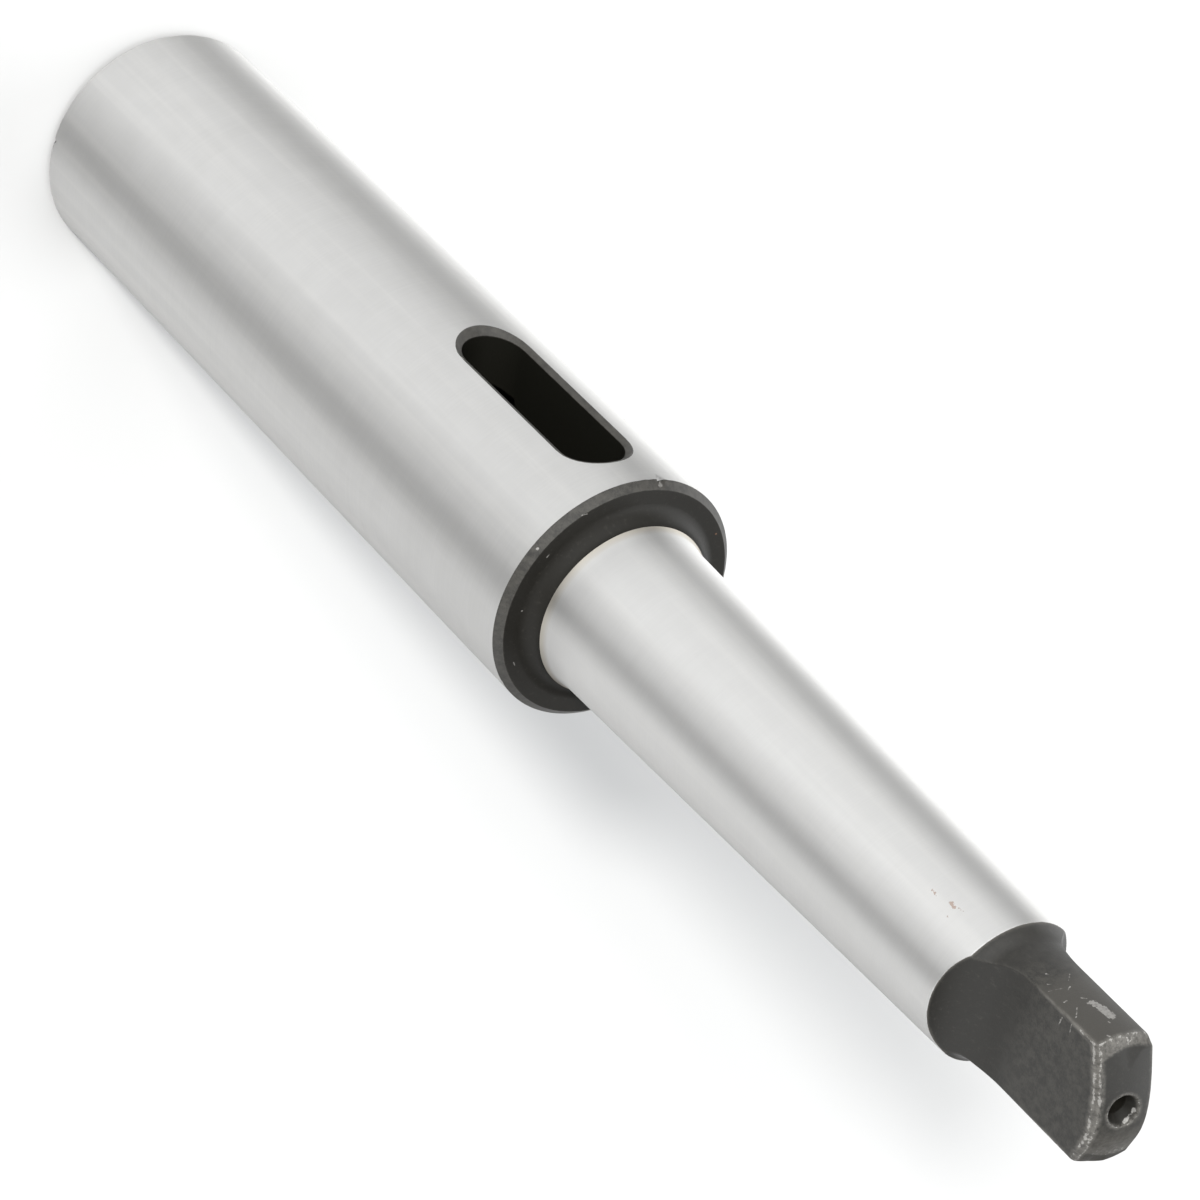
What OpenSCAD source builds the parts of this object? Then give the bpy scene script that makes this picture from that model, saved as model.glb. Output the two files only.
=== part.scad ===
// Morse taper extension socket: one bar of steel with a tapered socket in the body,
// a drift slot through the body and a tapered shank that ends in a flat tang.
// It stands on its mouth face. +Z runs up the axis from the mouth to the tang.
// The drift slot runs through along Y, and the flats of the tang face +X and -X.

/* [Body] */
// Diameter of the ground body
body_d = 26.4; // [25:0.1:34]
// Length of the body from the mouth face to the shoulder
body_len = 93; // [90:0.5:120]
// Edge chamfer at the mouth face and at the shoulder
body_chamfer = 0.7; // [0.3:0.1:1.2]

/* [Tapers] */
// Diameter lost for each millimetre of length, in the socket and on the shank
taper_rate = 0.04995; // [0.048:0.0001:0.053]

/* [Socket] */
// Diameter of the tapered bore at the mouth face
socket_mouth_d = 17.78; // [16.5:0.01:19]
// Diameter of the clearance bore behind the taper
socket_relief_d = 14.9; // [14.5:0.1:15.6]
// Depth of the socket down to the drill point
socket_depth = 67; // [62:0.5:72]
// Point angle of the drill that opened the socket
drill_angle = 118; // [90:1:140]
// Chamfer around the mouth of the socket
mouth_chamfer = 0.6; // [0.2:0.1:1.2]

/* [Drift slot] */
// Width of the slot
slot_w = 6.7; // [5:0.1:8]
// Length of the slot with its round ends
slot_len = 24.2; // [18:0.1:28]
// Steel left between the slot and the shoulder
slot_to_shoulder = 5.1; // [4:0.1:12]
// Chamfer around both openings of the slot
slot_chamfer = 0.7; // [0.3:0.1:1]

/* [Shank] */
// Diameter of the shank's taper where it would meet the shoulder
shank_root_d = 18; // [17:0.01:19]
// Distance from the shoulder to the end of the ground taper
taper_len = 63; // [58:0.5:70]
// Diameter of the black land between the shoulder fillet and the ground taper
land_d = 18.64; // [18.4:0.02:19]
// Radius of the turned fillet at the shoulder
shoulder_fillet_r = 1.75; // [1:0.05:2.5]
// Radius that the grinding wheel left at the start of the taper
wheel_fillet_r = 1.1; // [0.8:0.05:1.4]
// Distance from the shoulder to the full taper
wheel_stop = 2.3; // [2:0.05:3]

/* [Tang] */
// Distance from the end of the ground taper to the tip of the tang
tang_len = 17.3; // [15:0.1:19]
// Diameter of the turned tang, which is its width across the narrow sides
tang_w = 12.9; // [12:0.1:13.5]
// Thickness between the two milled flats
tang_t = 5.5; // [4.5:0.1:6.3]
// Length of each flat from the tip to its run-out
flat_len = 12.3; // [10:0.1:13]
// Radius of the cutter that left the run-out of each flat
scoop_r = 6.4; // [5.5:0.1:7]
// Radius of the fillet between the taper and the tang
neck_fillet_r = 2; // [1.2:0.1:3]
// Radius of the domed tip
tip_dome_r = 11; // [9:0.5:20]
// Radius of the corner between the dome and the narrow sides
tip_corner_r = 1.2; // [0.8:0.1:2.2]

/* [Centre hole] */
// Diameter of the centre drill's pilot
centre_d = 2; // [1.2:0.1:2.5]
// Diameter of the countersink at the tip
centre_rim_d = 3.2; // [2.8:0.1:4.2]
// Depth of the pilot from the tip
centre_depth = 4.5; // [3:0.1:6]
// Included angle of the countersink
centre_angle = 60; // [50:1:90]

/* [Hidden] */
$fn = 96;

// How far a cutter passes beyond what it cuts
over = 1;
// Steps around each opening of the slot in its chamfer cutter
chamfer_steps = 64;

body_r = body_d / 2;
land_r = land_d / 2;
tang_r = tang_w / 2;
half_t = tang_t / 2;
taper_end = body_len + taper_len;
tip_z = taper_end + tang_len;
flat_start = tip_z - flat_len;

// Radius of the shank's taper at height z
function shank_r(z) = (shank_root_d - taper_rate * (z - body_len)) / 2;
// Radius of the socket's taper at height z
function socket_r(z) = (socket_mouth_d - taper_rate * z) / 2;

// Start of the clearance bore, where the taper has shrunk to its diameter
relief_start = (socket_mouth_d - socket_relief_d) / taper_rate;
drill_point_len = socket_relief_d / 2 / tan(drill_angle / 2);

slot_r = slot_w / 2;
slot_low = body_len - slot_to_shoulder - slot_len;
slot_z1 = slot_low + slot_r;
slot_z2 = slot_low + slot_len - slot_r;

// Centre of the arc between the taper and the tang
neck_z = taper_end + sqrt(pow(neck_fillet_r, 2) - pow(neck_fillet_r - (shank_r(taper_end) - tang_r), 2));

// The dome is centred on the axis, and the corner arc touches it and the narrow side
dome_z = tip_z - tip_dome_r;
corner_r = tang_r - tip_corner_r;
corner_z = dome_z + sqrt(pow(tip_dome_r - tip_corner_r, 2) - pow(corner_r, 2));
corner_dir = [corner_r, corner_z - dome_z] / (tip_dome_r - tip_corner_r);

// Half section of the body and shank, with every fillet still solid
module straight_section() {
    polygon([
        [0, 0],
        [body_r - body_chamfer, 0],
        [body_r, body_chamfer],
        [body_r, body_len - body_chamfer],
        [body_r - body_chamfer, body_len],
        [land_r + shoulder_fillet_r, body_len],
        [land_r + shoulder_fillet_r, body_len + shoulder_fillet_r],
        [land_r, body_len + shoulder_fillet_r],
        [shank_r(body_len + wheel_stop), body_len + wheel_stop],
        [shank_r(taper_end), taper_end],
        [shank_r(taper_end), neck_z],
        [tang_r, neck_z],
        [tang_r, corner_z],
        [0, corner_z]
    ]);
}

// Half section above the corner, where the dome closes the tang
module dome_section() {
    intersection() {
        translate([0, corner_z - over]) square([tang_r, tip_dome_r]);
        translate([0, dome_z]) circle(r = tip_dome_r);
    }
}

// What the corner arc takes off the dome section
module corner_cut() {
    reach = tip_corner_r + 2 * over;
    difference() {
        polygon([
            [corner_r, corner_z],
            [corner_r + reach, corner_z],
            [corner_r + reach, tip_z + over],
            [corner_r, corner_z] + corner_dir * reach
        ]);
        translate([corner_r, corner_z]) circle(r = tip_corner_r);
    }
}

// Half section of the tapered socket, its mouth chamfer, the clearance bore and the drill point
module socket_section() {
    polygon([
        [0, -over],
        [socket_r(mouth_chamfer) + mouth_chamfer + over, -over],
        [socket_r(mouth_chamfer), mouth_chamfer],
        [socket_relief_d / 2, relief_start],
        [socket_relief_d / 2, socket_depth],
        [0, socket_depth + drill_point_len]
    ]);
}

// Half section of the centre drill's pilot and countersink in the tip
module centre_section() {
    cone_len = (centre_rim_d - centre_d) / 2 / tan(centre_angle / 2);
    translate([0, tip_z]) polygon([
        [0, over],
        [centre_rim_d / 2 + over * tan(centre_angle / 2), over],
        [centre_d / 2, -cone_len],
        [centre_d / 2, -centre_depth],
        [0, -centre_depth - centre_d / 2 / tan(drill_angle / 2)]
    ]);
}

// The whole turned, bored and ground form
module turned_form() {
    rotate_extrude() difference() {
        union() {
            straight_section();
            dome_section();
        }
        translate([land_r + shoulder_fillet_r, body_len + shoulder_fillet_r]) circle(r = shoulder_fillet_r);
        translate([shank_r(body_len + wheel_stop) + wheel_fillet_r, body_len + wheel_stop])
            circle(r = wheel_fillet_r);
        translate([tang_r + neck_fillet_r, neck_z]) circle(r = neck_fillet_r);
        corner_cut();
        socket_section();
        centre_section();
    }
}

// Outline of the slot in the X-Z plane, grown by d on all sides
function slot_point(i, d) =
    let (a = 360 * (i + 0.5) / chamfer_steps, upper = sin(a) > 0)
    [(slot_r + d) * cos(a), (upper ? slot_z2 : slot_z1) + (slot_r + d) * sin(a)];

// The same outline as a loop at depth h below a barrel of radius r
function barrel_loop(d, r, h) =
    [for (i = [0 : chamfer_steps - 1]) let (p = slot_point(i, d)) [p[0], h - sqrt(r * r - p[0] * p[0]), p[1]]];

// The same outline as a flat loop at height y
function flat_loop(d, y) = [for (i = [0 : chamfer_steps - 1]) let (p = slot_point(i, d)) [p[0], y, p[1]]];

// Plug that chamfers one opening and follows the barrel of the body
module slot_chamfer_cut() {
    grow = slot_chamfer + over / 4;
    sink = -over / 4;
    loops = [
        flat_loop(grow, -body_r - over),
        barrel_loop(grow, body_r, sink),
        barrel_loop(sink, body_r, slot_chamfer + over / 4),
        flat_loop(sink, -body_r + slot_chamfer + 2 * over)
    ];
    n = chamfer_steps;
    last = len(loops) - 1;
    sides = [for (k = [0 : last - 1], i = [0 : n - 1]) let (j = (i + 1) % n)
        each [[k * n + i, k * n + j, k * n + n + i], [k * n + j, k * n + n + j, k * n + n + i]]];
    polyhedron(
        points = [for (l = loops) each l],
        faces = concat([[for (i = [n - 1 : -1 : 0]) i]], sides, [[for (i = [0 : n - 1]) last * n + i]])
    );
}

// The drift slot, right through the body, with both openings chamfered
module drift_slot() {
    rotate([90, 0, 0]) linear_extrude(height = body_d + 2 * over, center = true) {
        translate([-slot_r, slot_z1]) square([slot_w, slot_z2 - slot_z1]);
        translate([0, slot_z1]) circle(r = slot_r);
        translate([0, slot_z2]) circle(r = slot_r);
    }
    slot_chamfer_cut();
    mirror([0, 1, 0]) slot_chamfer_cut();
}

// What the cutter takes off one side of the tang: the flat and its round run-out
module flat_cut() {
    rotate([90, 0, 0]) linear_extrude(height = body_d, center = true) {
        translate([half_t, flat_start]) square([body_r, flat_len + over]);
        translate([half_t + scoop_r, flat_start]) circle(r = scoop_r);
    }
}

module extension_socket() {
    color("silver") difference() {
        turned_form();
        drift_slot();
        flat_cut();
        mirror([1, 0, 0]) flat_cut();
    }
}

extension_socket();
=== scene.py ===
import math

import bpy
import numpy as np
from mathutils import Matrix, Vector


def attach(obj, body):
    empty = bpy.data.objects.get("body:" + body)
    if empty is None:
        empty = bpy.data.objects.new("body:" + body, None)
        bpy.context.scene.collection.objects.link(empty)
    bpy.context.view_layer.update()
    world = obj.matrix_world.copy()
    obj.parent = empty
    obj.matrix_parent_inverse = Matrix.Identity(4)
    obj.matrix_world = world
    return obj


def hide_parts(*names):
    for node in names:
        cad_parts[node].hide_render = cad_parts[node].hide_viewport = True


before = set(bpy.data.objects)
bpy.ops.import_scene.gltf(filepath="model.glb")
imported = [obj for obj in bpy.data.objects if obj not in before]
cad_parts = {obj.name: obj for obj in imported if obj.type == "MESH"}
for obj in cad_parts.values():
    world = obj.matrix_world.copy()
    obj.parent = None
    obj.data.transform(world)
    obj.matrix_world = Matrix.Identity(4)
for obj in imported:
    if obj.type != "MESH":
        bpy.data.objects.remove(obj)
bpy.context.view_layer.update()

# Sizes are in millimetres up to the mesh, which is made in metres.
MM = 0.001

# Body
BODY_R = 13.2
BODY_LEN = 93.0
BODY_CHAMFER = 0.7
EDGE_R = 0.1

# Socket
TAPER_RATE = 0.04995
SOCKET_MOUTH_R = 8.89
RELIEF_R = 7.45
SOCKET_DEPTH = 67.0
DRILL_HALF_ANGLE = math.radians(59)
MOUTH_CHAMFER = 0.6
MOUTH_SEAM_R = 10.6

# Drift slot
SLOT_R = 3.35
SLOT_LEN = 24.2
SLOT_TO_SHOULDER = 5.1
SLOT_CHAMFER = 0.7
SLOT_SIDE_LOSS = 0.28
SLOT_EDGE_R = 0.12

# Shank
SHANK_ROOT_R = 9.0
TAPER_LEN = 63.0
LAND_R = 9.32
SHOULDER_FILLET_R = 1.75
WHEEL_FILLET_R = 1.1
WHEEL_STOP = 2.3
FLARE_RUN = 0.45

# Tang
TIP_Z = 173.3
TANG_R = 6.45
TANG_HALF_T = 2.75
FLAT_LEN = 12.3
SCOOP_R = 6.4
NECK_FILLET_R = 2.0

# Centre hole
CENTRE_R = 1.0
CENTRE_RIM_R = 1.6
CENTRE_DEPTH = 4.5

SLOT_Z2 = BODY_LEN - SLOT_TO_SHOULDER - SLOT_R
SLOT_Z1 = SLOT_Z2 - SLOT_LEN + 2 * SLOT_R
TAPER_END = BODY_LEN + TAPER_LEN
TOP_Z = BODY_LEN - BODY_CHAMFER
FACE_R = BODY_R - BODY_CHAMFER
FLAT_START = TIP_Z - FLAT_LEN
RELIEF_START = (SOCKET_MOUTH_R - RELIEF_R) * 2 / TAPER_RATE
DRILL_POINT_Z = SOCKET_DEPTH + RELIEF_R / math.tan(DRILL_HALF_ANGLE)
TAPER_SLOPE = math.atan(TAPER_RATE / 2)

# How far the rounding of a 45 degree corner reaches along its sides, for a radius of 1
ROUNDING_REACH = math.tan(math.radians(22.5))

# Slack when a row is told from the corner beside it
SLACK = 0.01


def shank_r(z):
    """Radius of the shank's taper at height z."""
    return SHANK_ROOT_R - TAPER_RATE / 2 * (z - BODY_LEN)


def socket_r(z):
    """Radius of the socket's taper at height z."""
    return SOCKET_MOUTH_R - TAPER_RATE / 2 * z


NECK_Z = TAPER_END + math.sqrt(NECK_FILLET_R ** 2 - (NECK_FILLET_R - (shank_r(TAPER_END) - TANG_R)) ** 2)


# Mesh tools

# The oxide mark says how black the steel is. Above BLACK it paints shade onto the black oxide: darker and
# duller on the faces, the socket's mouth, the centre hole and the foot of the slot's rim, and darkest and
# dullest inside the socket and the slot. At the two thresholds for these levels a duller material takes over.
GROUND = -1.0
RUBBED = 0.5
SLOT_RIM = 0.85
BLACK = 1.0
DEEP_SHADE_FROM = 1.5
DEEP_SHADE = 2.0
HOLE_SHADE = 2.4
INSIDE_SHADE_FROM = 2.5
INSIDE_SHADE = 3.0

# The edge mark is the distance to the nearest worn edge, FAR where none is near; on the tang's end it also
# paints a sheen that grows towards +Y. From FAR to CREAM it is the strength of the pale line at the start of
# the taper, which fades over CREAM_REACH.
FAR = 9.0
CREAM = 18.0
CREAM_REACH = 0.9

# The edges of the body and the socket are worn less, and count as this much further away
LESS_WORN = 0.3


def marks_of(shape, oxide, edge=FAR):
    """The oxide mark and the edge mark at each corner of a patch."""
    return np.stack([np.broadcast_to(oxide, shape), np.broadcast_to(edge, shape)], -1)


def unit(vectors):
    """Vectors of length 1 the same way."""
    return vectors / np.linalg.norm(vectors, axis=1)[:, None]


class Shell:
    """One closed surface, gathered patch by patch. Patches share vertices, and each corner of a face has its
    own normal and its own marks, which the material reads."""

    MARKS = ("oxide", "edge")

    def __init__(self):
        self.points = np.zeros((0, 3))
        self.faces = []
        self.normals = []
        self.marks = []

    def add(self, points):
        """Adds points of shape (..., 3) and returns their numbers in the same layout."""
        points = np.asarray(points, float)
        first = len(self.points)
        self.points = np.vstack([self.points, points.reshape(-1, 3)])
        return first + np.arange(points[..., 0].size).reshape(points.shape[:-1])

    def patch(self, faces, normals, marks):
        """Adds faces (n, k), turned outwards, with normals (n, k, 3) and marks (n, k, 2) at their corners."""
        corner = self.points[faces]
        face_normal = np.cross(corner[:, 2] - corner[:, 0], corner[:, -1] - corner[:, 1])
        if (face_normal * normals.mean(1)).sum() < 0:
            faces, normals, marks = faces[:, ::-1], normals[:, ::-1], marks[:, ::-1]
        self.faces.append(faces)
        self.normals.append(normals)
        self.marks.append(marks)

    def grid(self, index, normals, oxide, edge=FAR, wrap=True, keep=None):
        """Quads between the rows and columns of index. keep, (rows - 1, columns), says which are made."""
        marks = marks_of(index.shape, oxide, edge)
        rows, columns = index.shape
        last = columns if wrap else columns - 1
        a, b = np.meshgrid(np.arange(rows - 1), np.arange(last), indexing="ij")
        if keep is not None:
            a, b = a[keep[:, :last]], b[keep[:, :last]]
        a, b = a.ravel(), b.ravel()
        c = (b + 1) % columns
        pick = lambda values: np.stack([values[a, b], values[a, c], values[a + 1, c], values[a + 1, b]], 1)
        self.patch(pick(index), pick(normals), pick(marks))

    def strip(self, ring_a, ring_b, normals_a, normals_b, marks_a, marks_b):
        """Triangles between two closed rings of any number of points, always across the shorter diagonal."""
        pa, pb = self.points[ring_a], self.points[ring_b]
        start = int(np.argmin(np.linalg.norm(pb - pa[0], axis=1)))
        turn = lambda values: np.roll(values, -start, axis=0)
        ring_b, normals_b, marks_b, pb = turn(ring_b), turn(normals_b), turn(marks_b), turn(pb)
        na, nb = len(ring_a), len(ring_b)
        i = j = 0
        corners = []
        while i < na or j < nb:
            step_a = np.linalg.norm(pa[(i + 1) % na] - pb[j % nb]) if i < na else math.inf
            step_b = np.linalg.norm(pb[(j + 1) % nb] - pa[i % na]) if j < nb else math.inf
            if step_a <= step_b:
                corners.append(((0, i % na), (0, (i + 1) % na), (1, j % nb)))
                i += 1
            else:
                corners.append(((0, i % na), (1, (j + 1) % nb), (1, j % nb)))
                j += 1
        pick = lambda a, b: np.array([[(a, b)[side][k] for side, k in face] for face in corners])
        self.patch(pick(ring_a, ring_b), pick(normals_a, normals_b), pick(marks_a, marks_b))

    def to_object(self, name, materials):
        """The finished mesh object, in metres."""
        used = np.unique(np.concatenate([face.ravel() for face in self.faces]))
        number = np.zeros(len(self.points), int)
        number[used] = np.arange(len(used))
        faces = [face.tolist() for patch in self.faces for face in number[patch]]
        mesh = bpy.data.meshes.new(name)
        mesh.from_pydata((self.points[used] * MM).tolist(), [], faces)
        normals = np.concatenate([n.reshape(-1, 3) for n in self.normals])
        marks = np.concatenate([m.reshape(-1, len(self.MARKS)) for m in self.marks])
        for k, mark in enumerate(self.MARKS):
            layer = mesh.attributes.new(mark, "FLOAT", "CORNER")
            layer.data.foreach_set("value", np.ascontiguousarray(marks[:, k], np.float32))
        mesh.polygons.foreach_set("use_smooth", np.ones(len(mesh.polygons), bool))
        mesh.normals_split_custom_set(unit(normals).tolist())
        for material in materials:
            mesh.materials.append(material)
        mesh.update()
        return put_in_scene(name, mesh)


def put_in_scene(name, data):
    """A new object in the scene, made of a mesh, camera or light."""
    thing = bpy.data.objects.new(name, data)
    bpy.context.scene.collection.objects.link(thing)
    return thing


def path(corners):
    """Rows (r, z, normal r, normal z) along a line in the half plane. A corner is (r, z) or (r, z, radius),
    and is rounded by its radius. The outside is on the right of the way along the line."""
    rows = []
    corners = [tuple(c) + (0,) * (3 - len(c)) for c in corners]
    spots = np.array([c[:2] for c in corners], float)
    ways = unit(np.diff(spots, axis=0))
    headings = np.unwrap(np.arctan2(ways[:, 1], ways[:, 0]))

    def put(point, heading):
        rows.append((point[0], point[1], math.sin(heading), -math.cos(heading)))

    put(spots[0], headings[0])
    for k in range(1, len(corners) - 1):
        turn = headings[k] - headings[k - 1]
        radius = corners[k][2]
        reach = radius * math.tan(abs(turn) / 2)
        start = spots[k] - ways[k - 1] * reach
        side = math.copysign(1, turn)
        centre = start + radius * side * np.array([-ways[k - 1][1], ways[k - 1][0]])
        steps = max(3, math.ceil(abs(turn) / math.radians(10)))
        for t in np.linspace(0, 1, steps + 1):
            heading = headings[k - 1] + turn * t
            put(centre + radius * side * np.array([math.sin(heading), -math.cos(heading)]), heading)
    put(spots[-1], headings[-1])
    return np.array(rows)


def line(start, end, steps=1):
    """Rows along a straight line of the half plane, with the outside on the right."""
    heading = math.atan2(end[1] - start[1], end[0] - start[0])
    share = np.linspace(0, 1, steps + 1)
    spots = [start[k] + (end[k] - start[k]) * share for k in (0, 1)]
    across, up = math.sin(heading), -math.cos(heading)
    return np.stack([*spots, np.full_like(share, across), np.full_like(share, up)], 1)


def arc(centre, radius, start, end, steps):
    """Rows along a hollow arc, with the outside towards its centre. Angles are in degrees."""
    angles = np.radians(np.linspace(start, end, steps + 1))
    c, s = np.cos(angles), np.sin(angles)
    return np.stack([centre[0] + radius * c, centre[1] + radius * s, -c, -s], 1)


def spin(rows, angles):
    """Points and normals of rows turned to each angle about the axis."""
    around = (np.cos(angles), np.sin(angles))
    lift = np.ones_like(angles)
    turned = lambda out, up: np.stack([*(np.outer(out, side) for side in around), np.outer(up, lift)], -1)
    return turned(rows[:, 0], rows[:, 1]), turned(rows[:, 2], rows[:, 3])


def distance_to(rows, corners):
    """The edge mark of each row of the body or the socket, from its distance to the nearest corner."""
    if corners is None:
        return FAR
    spots = np.array(corners, float)
    return np.linalg.norm(rows[:, None, :2] - spots[None], axis=2).min(1)[:, None] + LESS_WORN


# Turned outside of the body and shank

COLUMNS = 480
COLUMN_ANGLES = np.arange(COLUMNS) * 2 * math.pi / COLUMNS

# Places of two bands in the list that outer_bands returns
BARREL_BAND = 1
TAPER_BAND = 3

# Window in the barrel around each opening of the slot: half its width in columns, its heights and its rows
WINDOW_HALF = 34
WINDOW_LOW = 61.0
WINDOW_HIGH = 90.4
WINDOW_END_ROWS = 4
WINDOW_SIDE_ROWS = 7

# Rows of the barrel near the mouth and near the shoulder
LOW_ROWS = (1.6, 31)
HIGH_ROWS = (91.3, 91.8)

# Rows in the ground flare, from its start
FLARE_ROWS = (0, 0.06, 0.13, 0.21, 0.31, 0.43, 0.58, 0.77, 1.03, 1.4, 1.9, 2.6)

# Strip of the mouth face between outside and socket, and the seam below the tang
SEAM_STRIP = 0.8
TANG_SEAM_Z = 154.2

# How fast a nick grows shallow beside its edge, and the shares of its depth inwards and along the axis
NICK_SLOPE = 0.7
NICK_INWARDS = 0.75
NICK_ALONG = 0.65

# Nicks in an edge of the body: angle in degrees, height of the edge, half width and depth
NICKS = (
    (-102.6, TOP_Z, 0.5, 0.75),
    (-97.0, TOP_Z, 0.6, 0.2),
    (-91.5, TOP_Z, 0.9, 0.2),
    (-107.5, TOP_Z, 0.5, 0.15),
    (-76.7, TOP_Z, 0.35, 0.14),
    (-9.5, BODY_CHAMFER, 0.4, 0.3),
    (35.0, TOP_Z, 0.7, 0.12),
    (118.0, TOP_Z, 0.5, 0.2),
)


def nicked(points):
    """Presses each nick into the points around its edge."""
    points = points.copy()
    angle = np.arctan2(points[..., 1], points[..., 0])
    radius = np.hypot(points[..., 0], points[..., 1])
    for degrees, height, half_width, depth in NICKS:
        off = (angle - math.radians(degrees) + math.pi) % (2 * math.pi) - math.pi
        across = np.abs(off) * BODY_R / half_width
        away = np.hypot(radius - BODY_R, points[..., 2] - height)
        push = np.clip(depth * (1 - across) - NICK_SLOPE * away, 0, None)
        to_middle = -math.copysign(1, height - BODY_LEN / 2)
        points[..., 0] -= push * np.cos(angle) * NICK_INWARDS
        points[..., 1] -= push * np.sin(angle) * NICK_INWARDS
        points[..., 2] += push * to_middle * NICK_ALONG
    return points


def window_rows():
    """Heights of the rows beside the slot, with one at each end of its straight sides."""
    low = np.linspace(WINDOW_LOW, SLOT_Z1, WINDOW_END_ROWS + 1)
    middle = np.linspace(SLOT_Z1, SLOT_Z2, WINDOW_SIDE_ROWS + 1)
    high = np.linspace(SLOT_Z2, WINDOW_HIGH, WINDOW_END_ROWS + 1)
    return np.concatenate([low, middle[1:], high[1:]])


def circles_meet(c0, r0, c1, r1):
    """The two points where two circles cross."""
    c0, c1 = np.array(c0, float), np.array(c1, float)
    gap = np.linalg.norm(c1 - c0)
    along = (r0 ** 2 - r1 ** 2 + gap ** 2) / (2 * gap)
    side = math.sqrt(r0 ** 2 - along ** 2)
    way = (c1 - c0) / gap
    normal = np.array([-way[1], way[0]])
    return c0 + way * along + normal * side, c0 + way * along - normal * side


def flare(start):
    """Rows of the ground flare that the wheel left at the start of the taper."""
    run = np.array(FLARE_ROWS)
    height = start[1] + run
    swell = (start[0] - shank_r(start[1])) * np.exp(-run / FLARE_RUN)
    slope = -TAPER_RATE / 2 - swell / FLARE_RUN
    size = np.hypot(1, slope)
    return np.stack([shank_r(height) + swell, height, 1 / size, -slope / size], 1)


def outer_bands():
    """The bands of rows from the mouth face's seam to the tang's, each with its oxide mark and worn edges."""
    reach = EDGE_R * ROUNDING_REACH
    mouth = path([
        (MOUTH_SEAM_R + SEAM_STRIP, 0),
        (FACE_R, 0, EDGE_R),
        (BODY_R, BODY_CHAMFER, EDGE_R),
        (BODY_R, BODY_CHAMFER + 2 * reach),
    ])
    heights = np.concatenate([
        [BODY_CHAMFER + 2 * reach, *LOW_ROWS],
        window_rows(),
        [*HIGH_ROWS, TOP_Z - 2 * reach],
    ])
    ones, zeros = np.ones_like(heights), np.zeros_like(heights)
    barrel = np.stack([BODY_R * ones, heights, ones, zeros], 1)
    fillet_centre = (LAND_R + SHOULDER_FILLET_R, BODY_LEN + SHOULDER_FILLET_R)
    stop = BODY_LEN + WHEEL_STOP
    wheel_centre = (shank_r(stop) + WHEEL_FILLET_R, stop)
    crossings = circles_meet(fillet_centre, SHOULDER_FILLET_R, wheel_centre, WHEEL_FILLET_R)
    cusp = min(crossings, key=lambda point: point[0])
    fillet_end = math.degrees(math.atan2(cusp[1] - fillet_centre[1], cusp[0] - fillet_centre[0])) % 360
    shoulder = np.concatenate([
        path([
            (BODY_R, TOP_Z - 2 * reach),
            (BODY_R, TOP_Z, EDGE_R),
            (FACE_R, BODY_LEN, EDGE_R),
            (fillet_centre[0] + 2 * SLACK, BODY_LEN),
        ]),
        arc(fillet_centre, SHOULDER_FILLET_R, 270, fillet_end, 11),
    ])
    start = flare(cusp)
    cone = line(start[-1, :2], (shank_r(TANG_SEAM_Z), TANG_SEAM_Z), 4)[1:]
    edges = [(FACE_R, 0), (BODY_R, BODY_CHAMFER), (BODY_R, TOP_Z), (FACE_R, BODY_LEN)]
    chamfer_or_face = lambda rows: np.where(rows[:, :1] > FACE_R - SLACK, BLACK, DEEP_SHADE)
    taper = np.concatenate([start, cone])
    mouth_level = np.where(mouth[:, 1:2] > BODY_CHAMFER - 2 * SLACK, GROUND, chamfer_or_face(mouth))
    return [
        (mouth, mouth_level, edges),
        (barrel, GROUND, None),
        (shoulder, chamfer_or_face(shoulder), edges),
        (taper, GROUND, None),
    ]


def turned_outside(shell):
    """Adds the turned outside with a window at each opening of the slot. Returns the first and the last ring,
    and the loop of vertices around each window."""
    ring = first = None
    loops = []
    for number, (rows, oxide, edges) in enumerate(outer_bands()):
        points, normals = spin(rows, COLUMN_ANGLES)
        points = nicked(points)
        if ring is None:
            index = shell.add(points)
            first = index[0]
        else:
            index = np.concatenate([ring[None], shell.add(points[1:])])
        edge = distance_to(rows, edges)
        if number == TAPER_BAND:
            edge = FAR + (CREAM - FAR) * np.clip(1 - (rows[:, 1:2] - rows[0, 1]) / CREAM_REACH, 0, 1)
        keep = np.ones((len(rows) - 1, COLUMNS), bool)
        if number == BARREL_BAND:
            low = int(np.argmin(np.abs(rows[:, 1] - WINDOW_LOW)))
            high = int(np.argmin(np.abs(rows[:, 1] - WINDOW_HIGH)))
            for middle in (3 * COLUMNS // 4, COLUMNS // 4):
                left, right = middle - WINDOW_HALF, middle + WINDOW_HALF
                keep[low:high, left:right] = False
                loops.append(np.concatenate([
                    index[low, left:right],
                    index[low:high, right],
                    index[high, right:left:-1],
                    index[high:low:-1, left],
                ]))
        shell.grid(index, normals, oxide, edge, keep=keep)
        ring = index[-1]
    return first, ring, loops


# Drift slot

RIM_RINGS = 7
WALL_ROWS = 9
INNER_Y = 7.6
INNER_ROWS = 8


def outline(way, height, grow):
    """Points (x, z) on the slot's outline grown by grow. way is the direction from the middle of a round end,
    or the side, and height picks the end or the place along the straight side."""
    reach = SLOT_R + grow
    middle = np.clip(height, SLOT_Z1, SLOT_Z2)
    return np.stack([reach * way[:, 0], middle + reach * way[:, 1]], 1)


def wall_normals(points):
    """Normals of the slot's wall, which point into the slot."""
    middle = np.clip(points[:, 2], SLOT_Z1, SLOT_Z2)
    away = np.stack([points[:, 0], np.zeros(len(points)), points[:, 2] - middle], 1)
    return -unit(away)


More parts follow.
